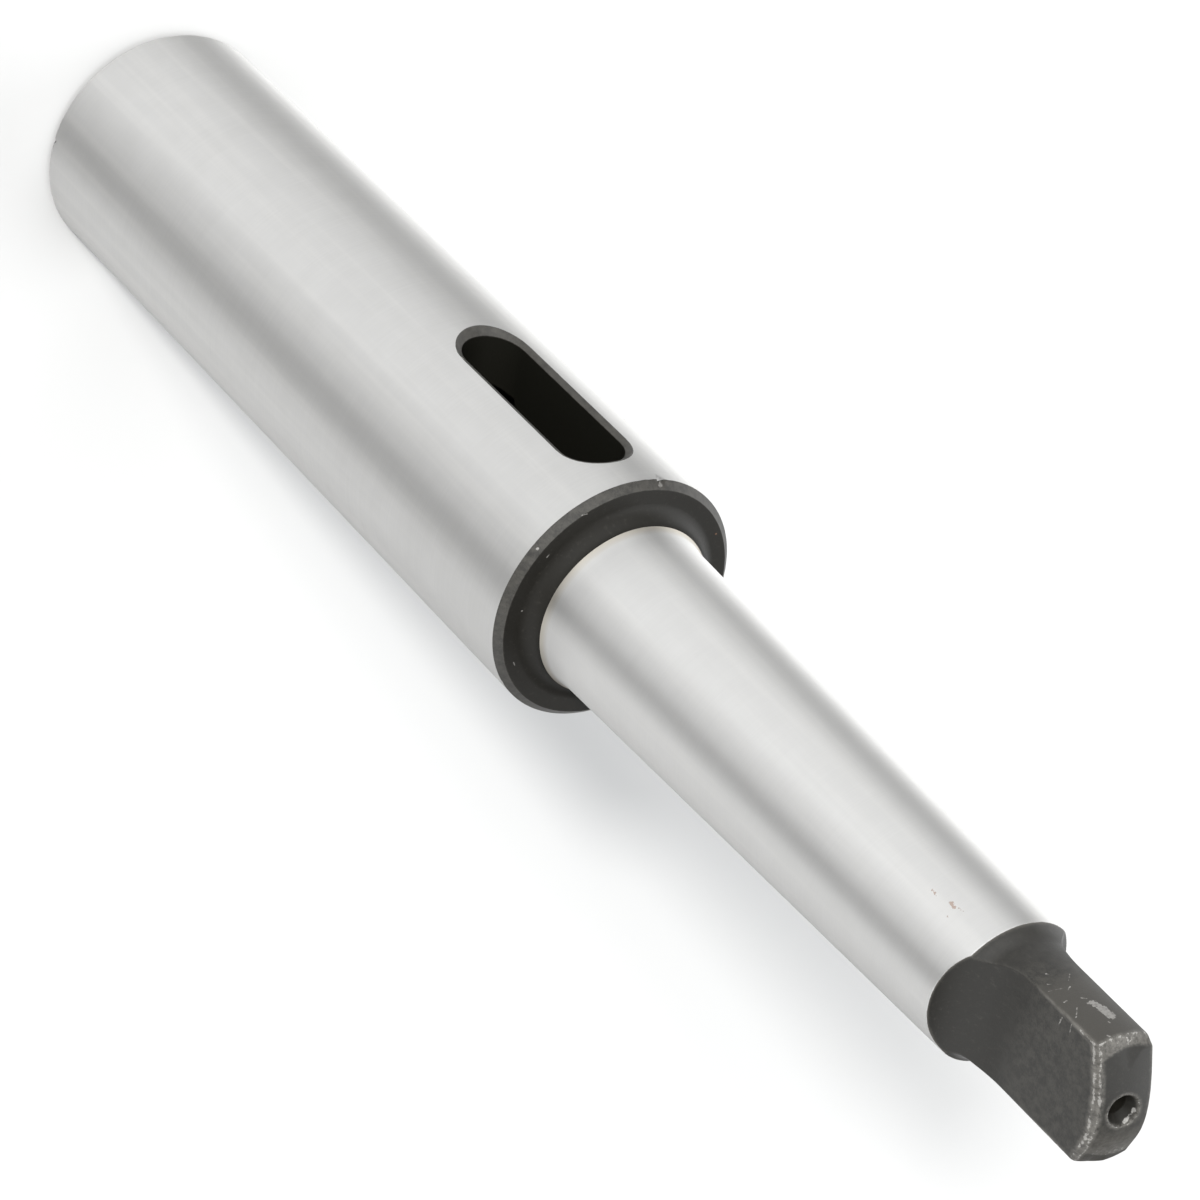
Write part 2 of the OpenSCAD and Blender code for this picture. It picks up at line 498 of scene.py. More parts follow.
def opening(shell, loop, sign):
    """Fills the window around one opening of the slot and adds its rim and the outer part of its wall. The
    sign is -1 for the opening towards -Y. Returns the innermost ring."""
    border = shell.points[loop][:, [0, 2]]
    middle = np.clip(border[:, 1], SLOT_Z1, SLOT_Z2)
    way = border - np.stack([np.zeros(len(border)), middle], 1)
    straight = (border[:, 1] >= SLOT_Z1) & (border[:, 1] <= SLOT_Z2)
    way[straight, 1] = 0
    way = unit(way)

    # The rim's profile: minus the distance outside the wall, and minus the depth below the barrel
    reach = SLOT_EDGE_R * ROUNDING_REACH
    rim = path([
        (-SLOT_CHAMFER - 3 * reach, 0),
        (-SLOT_CHAMFER, 0, SLOT_EDGE_R),
        (0, -SLOT_CHAMFER, SLOT_EDGE_R),
        (0, -SLOT_CHAMFER - 3 * reach),
    ])
    rim_edges = [(-SLOT_CHAMFER, 0), (0, -SLOT_CHAMFER)]
    rim_level = np.where(rim[:, 1:2] < -SLOT_CHAMFER - 4 * SLACK, DEEP_SHADE, SLOT_RIM)

    # The chamfer is narrower along the straight sides
    share = 1 - SLOT_SIDE_LOSS * way[:, 0] ** 2

    def ring_points(grow, depth):
        """Points around the opening, grow outside its wall and depth below the barrel."""
        flat = outline(way, border[:, 1], grow * share)
        barrel_y = np.sqrt(BODY_R ** 2 - flat[:, 0] ** 2)
        return np.stack([flat[:, 0], sign * (barrel_y - depth * share), flat[:, 1]], 1)

    start = outline(way, border[:, 1], -rim[0, 0] * share)
    rings = [loop]
    for t in np.linspace(0, 1, RIM_RINGS + 1)[1:]:
        flat = border + (start - border) * t
        y = sign * np.sqrt(BODY_R ** 2 - flat[:, 0] ** 2)
        rings.append(shell.add(np.stack([flat[:, 0], y, flat[:, 1]], 1)))
    index = np.stack(rings)
    normals = shell.points[index] * [1, 1, 0] / BODY_R
    shell.grid(index, normals, GROUND)

    rim_index = [rings[-1]]
    rim_normals = []
    for k, (place, height, across, up) in enumerate(rim):
        points = ring_points(-place, -height)
        if k:
            rim_index.append(shell.add(points))
        steep = points[:, 0] / np.sqrt(BODY_R ** 2 - points[:, 0] ** 2)
        barrel_normal = np.stack([steep, np.full(len(points), float(sign)), np.zeros(len(points))], 1)
        inwards = -np.stack([way[:, 0], np.zeros(len(way)), way[:, 1]], 1)
        normal = -across * inwards - up * barrel_normal
        rim_normals.append(unit(normal))
    rim_index, rim_normals = np.stack(rim_index), np.stack(rim_normals)
    shell.grid(rim_index, rim_normals, rim_level, distance_to(rim, rim_edges))

    outer = shell.points[rim_index[-1]]
    rows = [rim_index[-1]]
    for t in np.linspace(0, 1, WALL_ROWS + 1)[1:]:
        points = outer.copy()
        points[:, 1] += (sign * INNER_Y - outer[:, 1]) * t
        rows.append(shell.add(points))
    index = np.stack(rows)
    normals = np.broadcast_to(wall_normals(outer), index.shape + (3,))
    shell.grid(index, normals, INSIDE_SHADE)
    return index[-1]


# Socket

# Height of the seam below the slot, and the columns and rows of the bore
NOTCH_SEAM_Z = 62.6
SIDE_COLUMNS = 48
NOTCH_COLUMNS = 24
BORE_ROWS = 5
CONE_ROWS = 8


def bore_angles():
    """Angles of the bore's columns, with one at each corner where the slot's flat walls reach the bore."""
    corner = math.acos(SLOT_R / RELIEF_R)
    side = np.linspace(-corner, corner, SIDE_COLUMNS + 1)[:-1]
    notch = np.linspace(corner, math.pi - corner, NOTCH_COLUMNS + 1)[:-1]
    return np.concatenate([side, notch, side + math.pi, notch + math.pi])


def bore_end(angles):
    """Radius and height where the bore ends on the slot's walls."""
    x = np.abs(np.cos(angles))
    wall_r = SLOT_R / np.maximum(x, 1e-9)
    on_wall = wall_r <= RELIEF_R + 1e-9
    radius = np.where(on_wall, wall_r, RELIEF_R)
    cone_z = DRILL_POINT_Z - radius / math.tan(DRILL_HALF_ANGLE)
    notch_z = SLOT_Z1 - np.sqrt(np.maximum(SLOT_R ** 2 - (RELIEF_R * x) ** 2, 0))
    return radius, np.where(on_wall, cone_z, notch_z)


def socket(shell):
    """Adds the bore from the slot to the seam on the mouth face. Returns its rings at both."""
    angles = bore_angles()
    end_r, end_z = bore_end(angles)
    shares = np.linspace(1, 0, BORE_ROWS + 1)
    heights = NOTCH_SEAM_Z + np.outer(shares, end_z - NOTCH_SEAM_Z)
    cone_r = (DRILL_POINT_Z - heights) * math.tan(DRILL_HALF_ANGLE)
    radius = np.where(heights > SOCKET_DEPTH, cone_r, RELIEF_R)
    radius[0] = end_r
    c, s = np.cos(angles), np.sin(angles)
    top = shell.add(np.stack([radius * c, radius * s, heights], -1))
    on_cone = (heights > SOCKET_DEPTH)[..., None]
    flat, steep = math.cos(DRILL_HALF_ANGLE), math.sin(DRILL_HALF_ANGLE)
    straight = np.stack([-c, -s, np.zeros_like(c)], -1)[None]
    cone = np.stack([-flat * c, -flat * s, np.full_like(c, -steep)], -1)[None]
    normals = np.where(on_cone, cone, straight)
    shell.grid(top, normals, INSIDE_SHADE)

    relief = line((RELIEF_R, NOTCH_SEAM_Z), (RELIEF_R, RELIEF_START))
    chamfer_r = socket_r(MOUTH_CHAMFER)
    cone_foot = (socket_r(MOUTH_CHAMFER + EDGE_R), MOUTH_CHAMFER + EDGE_R)
    cone = line((RELIEF_R, RELIEF_START), cone_foot, CONE_ROWS)
    mouth = path([
        cone_foot,
        (chamfer_r, MOUTH_CHAMFER, EDGE_R),
        (chamfer_r + MOUTH_CHAMFER, 0, EDGE_R),
        (MOUTH_SEAM_R, 0),
    ])
    mouth_edges = [(chamfer_r, MOUTH_CHAMFER), (chamfer_r + MOUTH_CHAMFER, 0)]
    ring = top[-1]
    for rows, oxide, edges in ((relief, INSIDE_SHADE, None), (cone, GROUND, None), (mouth, DEEP_SHADE, mouth_edges)):
        points, normals = spin(rows, angles)
        index = np.concatenate([ring[None], shell.add(points[1:])])
        shell.grid(index, normals, oxide, distance_to(rows, edges))
        ring = index[-1]
    return top[0], ring


def inner_walls(shell, ring_front, ring_back, bore_ring):
    """Joins the walls of the two openings right through the body, and to the end of the bore below."""
    front, back = shell.points[ring_front], shell.points[ring_back]
    apart = np.linalg.norm((front[:, None] - back[None])[..., [0, 2]], axis=2)
    ring_back = ring_back[apart.argmin(1)]
    above = front[:, 2] > DRILL_POINT_Z - SLOT_R / math.tan(DRILL_HALF_ANGLE)
    count = len(above)
    start = next(i for i in range(count) if above[i] and not above[i - 1])
    upper = [(start + k) % count for k in range(int(above.sum()))]
    lower = [(upper[-1] + k) % count for k in range(count - len(upper) + 2)]
    rows = [ring_front[upper]]
    for y in np.linspace(-INNER_Y, INNER_Y, INNER_ROWS + 1)[1:-1]:
        points = front[upper].copy()
        points[:, 1] = y
        rows.append(shell.add(points))
    rows.append(ring_back[upper])
    index = np.stack(rows)
    normals = np.broadcast_to(wall_normals(front[upper]), index.shape + (3,))
    shell.grid(index, normals, INSIDE_SHADE, wrap=False)

    loop = np.concatenate([
        ring_front[lower][:-1],
        index[:-1, 0],
        ring_back[lower][::-1][:-1],
        index[::-1, -1][:-1],
    ])
    shell.strip(
        loop, bore_ring,
        wall_normals(shell.points[loop]), wall_normals(shell.points[bore_ring]),
        marks_of(loop.shape, INSIDE_SHADE), marks_of(bore_ring.shape, INSIDE_SHADE),
    )


# Tang

# Bevel along the end of the +X flat, and what the -X flat has of it
FLAT_BEVEL = 0.36
BACK_BEVEL = 0.03
BEVEL_RIPPLE = 0.07

# Ground facet at the end's -Y side
SIDE_BEVEL_Z = 170.6
SIDE_SLANT = 0.52
SIDE_SLANT_GROWTH = 0.17
SIDE_RIPPLE = 0.04
BEVEL_INNER_R = 5.58

# Hand-ground end: each term's factor and powers of x and y, the height on the axis, and a lip beyond LIP_Y
END_TERMS = ((-0.118, 1, 0), (0.155, 0, 1), (0.0071, 1, 1), (-0.0322, 2, 0), (-0.0434, 0, 2), (-0.0028, 0, 3))
END_Z = 172.99
LIP_RISE = 0.1
LIP_Y = 4

# What turns a height above the end into a distance
END_SLOPE = 0.94

# Centre hole
CENTRE_TOP_Z = 173.0
CENTRE_POINT_SLOPE = 0.6
COUNTERSINK_HALF_ANGLE = math.radians(30)

# Distance over which a face's own mark sets in beside its edges
BLEND = 0.1


def ramp(value, length):
    """Rises from 0 to 1 as value goes from 0 to length, and stays there outside."""
    return np.clip(value / length, 0, 1)


def round_max(a, b, radius):
    """The larger of two distances, with the edge between their surfaces rounded."""
    corner = np.hypot(np.maximum(a + radius, 0), np.maximum(b + radius, 0))
    return np.minimum(np.maximum(a, b), -radius) + corner


def ripple(x, y, z, pitch, seed):
    """A smooth, fixed unevenness from -1 to 1 with waves of about the pitch."""
    total = 0
    for k in range(4):
        a, b, c = (math.sin(seed * 7.1 + k * 2.3), math.cos(seed * 3.7 + k * 1.9), math.sin(seed + k * 4.1))
        total = total + np.sin((a * x + b * y + c * z) * 2 * math.pi / pitch * (1 + 0.31 * k) + seed * k)
    return total / 4


def end_height(x, y):
    """Height of the hand-ground end, an uneven dome that leans towards +X and -Y."""
    lip = LIP_RISE * np.clip(y - LIP_Y, 0, None) ** 2 * np.clip(0.7 - 0.35 * x, 0.35, 0.85)
    return END_Z + sum(factor * x ** a * y ** b for factor, a, b in END_TERMS) + lip


def tang_fields(p):
    """Distances from points to each surface of the shank's end, below 0 inside the steel."""
    x, y, z = p[..., 0], p[..., 1], p[..., 2]
    r = np.hypot(x, y)
    cone = (r - shank_r(z)) * math.cos(TAPER_SLOPE)
    neck_centre = TANG_R + NECK_FILLET_R
    side = np.where(z >= NECK_Z, r - TANG_R, NECK_FILLET_R - np.hypot(r - neck_centre, z - NECK_Z))
    scoop = SCOOP_R - np.hypot(np.abs(x) - TANG_HALF_T - SCOOP_R, z - FLAT_START)
    flat = np.where(z >= FLAT_START, np.abs(x) - TANG_HALF_T, scoop)
    end = (z - end_height(x, y)) * END_SLOPE
    bevel = np.where(x > 0, FLAT_BEVEL + BEVEL_RIPPLE * ripple(x, y, z, 3.1, 1), BACK_BEVEL)
    flat_bevel = (flat + end + bevel) / math.sqrt(2)
    slant = SIDE_SLANT + SIDE_SLANT_GROWTH * np.clip(-x, 0, 3) ** 2
    above = z - SIDE_BEVEL_Z + slant * side + SIDE_RIPPLE * ripple(x, y, z, 2.6, 2)
    side_bevel = above / np.hypot(1, slant) - np.clip(y, 0, 1) * 2
    depth = CENTRE_TOP_Z - z
    sunk_r = r - CENTRE_RIM_R + depth * math.tan(COUNTERSINK_HALF_ANGLE)
    countersink = sunk_r * math.cos(COUNTERSINK_HALF_ANGLE)
    pilot = np.maximum(r - CENTRE_R, depth - CENTRE_DEPTH - (CENTRE_R - r) * CENTRE_POINT_SLOPE)
    hole = -np.minimum(countersink, pilot)
    return cone, side, flat, end, flat_bevel, side_bevel, hole


def tang_field(p):
    """Distance to the surface of the shank's end, below 0 inside the steel."""
    cone, side, flat, end, flat_bevel, side_bevel, hole = tang_fields(p)
    steel = cone
    for surface, radius in (
        (side, 0.06),
        (flat, 0.09 + 0.05 * ramp(p[..., 2] - TAPER_END, 6)),
        (end, 0.06 + 0.1 * ramp(p[..., 1] - 3.2, 2)),
        (flat_bevel, 0.05),
        (side_bevel, 0.08),
        (hole, 0.05),
    ):
        steel = round_max(steel, surface, radius)
    return steel


def graded(low, high, fine, coarse, spots, reach):
    """Grid planes from low to high, fine within reach of the spots and coarse elsewhere."""
    places = [low]
    while places[-1] < high:
        near = min(abs(places[-1] - spot) for spot in spots)
        places.append(places[-1] + fine + (coarse - fine) * ramp(near - reach, 4 * reach))
    return np.array(places)


def slopes(field, points, step=0.004):
    """The field's gradient at each point."""
    parts = []
    for axis in range(3):
        shift = np.zeros(3)
        shift[axis] = step
        parts.append((field(points + shift) - field(points - shift)) / (2 * step))
    return np.stack(parts, -1)


def net(field, planes):
    """The surface where the field is 0, as points and quads, with a point in each crossed cell."""
    mesh = np.stack(np.meshgrid(*planes, indexing="ij"), -1)
    values = field(mesh)
    cells = [len(places) - 1 for places in planes]
    total = cells[0] * cells[1] * cells[2]
    sums = np.zeros((total, 3))
    hits = np.zeros(total)
    quads = []
    for axis in range(3):
        first = [slice(None)] * 3
        second = [slice(None)] * 3
        first[axis], second[axis] = slice(None, -1), slice(1, None)
        a, b = values[tuple(first)], values[tuple(second)]
        edge = np.argwhere((a < 0) != (b < 0))
        ends = edge.copy()
        ends[:, axis] += 1
        va, vb = values[tuple(edge.T)], values[tuple(ends.T)]
        share = (va / (va - vb))[:, None]
        crossing = mesh[tuple(edge.T)] * (1 - share) + mesh[tuple(ends.T)] * share
        others = [k for k in range(3) if k != axis]
        ring = []
        inside = np.ones(len(edge), bool)
        for back in ((0, 0), (1, 0), (1, 1), (0, 1)):
            cell = edge.copy()
            cell[:, others[0]] -= back[0]
            cell[:, others[1]] -= back[1]
            valid = ((cell >= 0) & (cell < cells)).all(1)
            inside &= valid
            number = np.ravel_multi_index(np.clip(cell, 0, np.array(cells) - 1).T, cells)
            for k in range(3):
                sums[:, k] += np.bincount(number[valid], crossing[valid, k], total)
            hits += np.bincount(number[valid], minlength=total)
            ring.append(number)
        quad = np.stack(ring, 1)[inside]
        outwards = (va[inside] < 0) != (axis == 1)
        quad[~outwards] = quad[~outwards][:, ::-1]
        quads.append(quad)
    quads = np.concatenate(quads)
    used, quads = np.unique(quads, return_inverse=True)
    points = sums[used] / hits[used][:, None]
    for _ in range(4):
        gradient = slopes(field, points)
        points = points - field(points)[:, None] * gradient / (gradient ** 2).sum(1)[:, None]
    return points, quads.reshape(-1, 4)


def tang_marks(points):
    """Marks of the tang: oxide from the boundary between the ground cone and what was cut after it, with
    painted light on the end and painted shade in the centre hole, and the distance to the nearest worn edge,
    which on the end also paints a sheen."""
    cone, side, flat, end, flat_bevel, side_bevel, hole = tang_fields(points)
    oxide = np.clip(4 * (np.maximum(np.maximum(side, flat), end) - cone), GROUND, BLACK)
    x, y, z = points.T
    inside = BEVEL_INNER_R - 0.17 * x - np.hypot(x, y)
    on_flat = ramp(flat - np.maximum(side, end), BLEND)
    on_end = ramp(end - np.maximum(side, flat), BLEND) * ramp(end - flat_bevel, BLEND)
    on_end = on_end * ramp(inside, 3 * BLEND)
    on_side = (1 - on_flat) * (1 - on_end)
    # On the flats the oxide is darker towards the scoop; on the end it is darker towards -Y and paler towards
    # +Y, a painted highlight on the end's rounded +Y side.
    deeper = on_flat * 0.44 * ramp(164 - z, 5) + on_end * (0.45 - 1.15 * ramp(y + 0.5, 5))
    paler = (0.72 * ramp(z - 159.5, 4) - 0.32) * on_side
    oxide = oxide + np.clip(oxide, 0, 1) * (deeper - paler)
    # The centre hole is painted darker and duller, painted shade in its recess.
    in_hole = hole > np.maximum.reduce([cone, side, flat, end]) + 2 * SLACK
    oxide = np.where(in_hole, HOLE_SHADE, oxide)

    # What is added to a distance makes that edge less worn there
    both = lambda a, b: np.maximum(np.abs(a), np.abs(b))
    away = np.clip(y + 4, 0, 2)
    far_flat = np.where(x < 0, 0.15, 0)
    edge = np.minimum.reduce([
        both(flat, flat_bevel) + far_flat,
        both(flat_bevel, end) + far_flat,
        both(side, side_bevel) + away,
        np.maximum(inside, -side_bevel) + away + 0.1,
        both(flat, side) + np.clip(0.035 * (169 - z), 0, 0.3),
        both(hole, end) + 0.05,
        # On the end this paints a sheen of rubbed steel that grows towards +Y; it is no edge.
        np.where(on_end > 0.5, 0.5 - 0.08 * y, FAR),
    ])
    return np.stack([oxide, edge], -1)


def tang(shell, ring):
    """Adds the end of the shank with the tang, from the ring below it."""
    margin, fine = 0.3, 0.1
    reach = shank_r(TANG_SEAM_Z) + margin
    heights = (TAPER_END, SIDE_BEVEL_Z, 171.4, 172.2, CENTRE_TOP_Z)
    x_planes = graded(-reach, reach, fine, 0.2, (-TANG_HALF_T, -1.5, 1.5, TANG_HALF_T), 0.45)
    y_planes = graded(-reach, reach, fine, 0.22, (-6.2, -5.6, -1.5, 1.5, 5.6, 6.2), 0.4)
    z_planes = graded(TANG_SEAM_Z + margin / 2, TIP_Z + margin, fine, 0.22, heights, 0.35)
    points, quads = net(tang_field, (x_planes, y_planes, z_planes))
    index = shell.add(points)
    normals = unit(slopes(tang_field, points))
    marks = tang_marks(points)
    shell.patch(index[quads], normals[quads], marks[quads])
    edges = np.sort(np.concatenate([quads[:, [k, (k + 1) % 4]] for k in range(4)]), axis=1)
    pairs, uses = np.unique(edges, axis=0, return_counts=True)
    rim = np.unique(pairs[uses == 1])
    rim = rim[np.argsort(np.arctan2(points[rim, 1], points[rim, 0]))]
    ring_points = shell.points[ring]
    radial = ring_points * [1, 1, 0] / np.hypot(ring_points[:, 0], ring_points[:, 1])[:, None]
    ring_normals = radial * math.cos(TAPER_SLOPE) + [0, 0, math.sin(TAPER_SLOPE)]
    shell.strip(ring, index[rim], ring_normals, normals[rim], marks_of(ring.shape, GROUND), marks[rim])


def build_socket(name, materials):
    """The whole part as one closed mesh."""
    shell = Shell()
    mouth_ring, tang_ring, loops = turned_outside(shell)
    rings = [opening(shell, loop, sign) for loop, sign in zip(loops, (-1, 1))]
    bore_ring, seam_ring = socket(shell)
    inner_walls(shell, *rings, bore_ring)
    down = lambda ring: np.broadcast_to([0.0, 0.0, -1.0], ring.shape + (3,))
    deep_shade = lambda ring: marks_of(ring.shape, DEEP_SHADE)
    shell.strip(seam_ring, mouth_ring, down(seam_ring), down(mouth_ring), deep_shade(seam_ring), deep_shade(mouth_ring))
    tang(shell, tang_ring)
    return shell.to_object(name, materials)


# Materials

class Graph:
    """Adds nodes to a node tree. From math on, each method makes nodes and returns their output."""

    def __init__(self, tree):
        self.tree = tree
        tree.nodes.clear()

    def node(self, kind, **settings):
        """A new shader node with its settings."""
        node = self.tree.nodes.new("ShaderNode" + kind)
        for name, value in settings.items():
            setattr(node, name, value)
        return node

    def feed(self, node, **inputs):
        """Sets or links a node's inputs, named in lower case with _ for a space, or by number as i0, i1."""
        names = {plug.name.lower().replace(" ", "_"): plug for plug in reversed(node.inputs)}
        names.update({f"i{k}": plug for k, plug in enumerate(node.inputs)})
        for name, value in inputs.items():
            if isinstance(value, bpy.types.NodeSocket):
                self.tree.links.new(value, names[name])
            else:
                names[name].default_value = value
        return node

    def end(self, shader, kind="OutputMaterial"):
        """Links a shader to the tree's output."""
        self.tree.links.new(shader.outputs[0], self.node(kind).inputs[0])

    def math(self, operation, a, b=0.0, c=0.0):
        return self.feed(self.node("Math", operation=operation), i0=a, i1=b, i2=c).outputs[0]

    def scaled(self, value, factor, plus=0.0):
        return self.math("MULTIPLY_ADD", value, factor, plus)

    def vector(self, operation, a, b=(0, 0, 0)):
        node = self.feed(self.node("VectorMath", operation=operation), i0=a, i1=b)
        return node.outputs["Value" if operation in ("DISTANCE", "LENGTH", "DOT_PRODUCT") else "Vector"]

    def times(self, place, x, y, z):
        return self.vector("MULTIPLY", place, (x, y, z))

    def noise(self, place, scale=1.0, detail=2.0, roughness=0.5):
        node = self.node("TexNoise")
        return self.feed(node, vector=place, scale=scale, detail=detail, roughness=roughness).outputs[0]

    def step(self, value, low, high, start=0.0, end=1.0):
        """Rises smoothly from start to end as value goes from low to high, and stays there outside."""
        node = self.node("MapRange", interpolation_type="SMOOTHSTEP", clamp=False)
        return self.feed(node, value=value, from_min=low, from_max=high, to_min=start, to_max=end).outputs[0]

    def blend(self, share, a, b):
        node = self.node("Mix", data_type="FLOAT")
        return self.feed(node, i0=share, i2=a, i3=b).outputs[0]

    def tint(self, share, a, b):
        node = self.node("Mix", data_type="RGBA")
        colours = [c if isinstance(c, bpy.types.NodeSocket) else (*c, 1) for c in (a, b)]
        return self.feed(node, i0=share, i6=colours[0], i7=colours[1]).outputs[2]

    def layers(self, colour, *tints):
        """A colour under tints, each a share and a colour."""
        for share, over in tints:
            colour = self.tint(share, colour, over)
        return colour


def new_material(name):
    """A new material and its graph."""
    material = bpy.data.materials.new(name)
    material.use_nodes = True
    return material, Graph(material.node_tree)


GROUND_DARK = (0.535, 0.531, 0.523)
GROUND_PALE = (0.555, 0.551, 0.543)
LINE_COLOUR = (0.44, 0.43, 0.42)
STREAK_COLOUR = (0.66, 0.65, 0.63)
# The next colour paints a sheen onto the shank's ground steel.
SHANK_PAINTED_SHEEN = (0.83, 0.825, 0.815)
CREAM_COLOUR = (0.42, 0.385, 0.325)
OXIDE_DARK = (0.007, 0.0065, 0.0055)
OXIDE_PALE = (0.0205, 0.0193, 0.0166)
# The next two colours paint shade: on the faces, the socket's mouth and the centre hole, and darkest inside
# the socket and the slot.
DEEP_SHADE_COLOUR = (0.006, 0.0055, 0.0044)
INSIDE_SHADE_COLOUR = (0.004, 0.0039, 0.003)
# The next colour is rubbed steel at worn edges and a painted sheen on the tang's end.
RUBBED_AND_SHEEN_COLOUR = (0.13, 0.125, 0.115)
CHAMFER_COLOUR = (0.024, 0.0224, 0.0194)
SMUDGE_COLOUR = (0.048, 0.046, 0.042)
BARE_COLOUR = (0.3, 0.293, 0.28)
RUST_COLOUR = (0.15, 0.085, 0.055)


def on_ring(degrees, radius, height):
    """A point at that angle about the axis, in millimetres."""
    angle = math.radians(degrees)
    return radius * math.cos(angle), radius * math.sin(angle), height


# Marks of use: where a mark starts and ends, its radius, and how ragged its outline is
BARE = (
    ((0, -6.45, 166.1), (-0.45, -6.43, 166.8), 0.32, 1),
    ((-0.35, -6.43, 167), (-0.5, -6.42, 168), 0.5, 1),
    ((2.95, -5.75, 166.1), (2.9, -5.75, 167), 0.05, 0.5),
    ((2.75, -5.4, 165.85), (2.75, -4.6, 165.7), 0.03, 0.3),
    ((2.75, -5.6, 167.1), (2.75, -4.8, 167.15), 0.02, 0.3),
    ((2.85, -5.8, 167.2), (2.75, -5.83, 169.5), 0.02, 0.5),
    ((0.24, -6.45, 168.74), (0.2, -6.45, 168.86), 0.06, 0.2),
    ((1.36, -6.3, 170.05), (1.25, -6.32, 170.25), 0.06, 0.2),
    ((0.5, -6.43, 165.2), (0.1, -6.45, 165.5), 0.02, 0.25),
    ((1.3, -6.3, 161.3), (1.1, -6.33, 161.5), 0.03, 0.3),
    ((1.9, -6.15, 162.4), (1.6, -6.24, 162.6), 0.02, 0.3),
    ((0.9, -6.38, 163.9), (0.5, -6.42, 163.6), 0.02, 0.3),
    ((2, -6.12, 164.9), (1.7, -6.2, 164.9), 0.02, 0.3),
    ((2.3, -6.02, 163.1), (1.2, -6.34, 163.5), 0, 0.25),
    ((-0.6, -6.42, 162.2), (0.1, -6.45, 162.9), 0, 0.25),
    ((1.5, -6.27, 166), (2.2, -6.06, 166.9), 0.01, 0.3),
    ((0.9, 3.1, 172.3), (2, 2.7, 172.2), 0, 0.25),
    ((1.4, -3.9, 171.9), (0.7, -4.6, 171.9), 0, 0.25),
    ((-1.4, 0.4, 172.85), (-0.6, 1.4, 172.9), 0.16, 0.3),
    ((0.1, -2.9, 172.9), (-0.2, -3.5, 172.7), 0, 0.3),
    (on_ring(-37.7, 12.85, 92.6), on_ring(-37.3, 12.85, 92.6), 0.09, 0.35),
    (on_ring(-38.4, 11.5, 93), on_ring(-36.9, 11.5, 93), 0.035, 0.1),
    (on_ring(-58.6, 12.78, 93), on_ring(-63.3, 12.36, 93), 0.03, 0.25),
    (on_ring(-6.2, 10.9, 93), on_ring(-6.2, 10.92, 93), 0.07, 0.1),
    (on_ring(24.2, 11.62, 93), on_ring(26.4, 11.6, 93), 0.02, 0.1),
    ((-2.2, -13.03, 83.5), (-2.05, -13.03, 84), 0.05, 0.4),
    ((3.95, -12.6, 66.9), (3.9, -12.6, 67.2), 0.04, 0.4),
    ((1.65, -13.05, 84.5), (1.65, -13.05, 84.75), 0.04, 0.15),
    (on_ring(-102.6, 12.9, 92.2), on_ring(-102.6, 12.7, 92.5), 0.2, 0.25),
)
RUST = (
    ((3.6, -6.63, 150.5), (3.75, -6.6, 151), 0.17, 0.7),
    ((4.45, -6.04, 151.2), (4.55, -6.05, 151.5), 0.03, 0.6),
    ((4, -6.47, 148.3), (4.1, -6.45, 149.1), 0.05, 0.8),
    ((3.5, -6.65, 151.4), (3.4, -6.7, 151.9), 0.02, 0.6),
    (on_ring(-151.2, 11.92, 93), on_ring(-151.2, 11.93, 93), 0.07, 0.1),
)


def marked(g, place, wobble, marks):
    """1 inside any of the marks and 0 outside them all."""
    total = None
    for start, end, radius, ragged in marks:
        start, end = Vector(start), Vector(end)
        way = end - start
        away = g.vector("SUBTRACT", place, tuple(start))
        share = g.scaled(g.vector("DOT_PRODUCT", away, tuple(way)), 1 / way.length_squared)
        share = g.feed(g.node("Clamp"), value=share).outputs[0]
        along = g.node("VectorMath", operation="SCALE")
        g.feed(along, i0=tuple(way), scale=share)
        distance = g.vector("LENGTH", g.vector("SUBTRACT", away, along.outputs[0]))
        distance = g.scaled(wobble, ragged, distance)
        mask = g.step(distance, radius - 0.03, radius + 0.05, 1, 0)
        total = mask if total is None else g.math("MAXIMUM", total, mask)
    return total


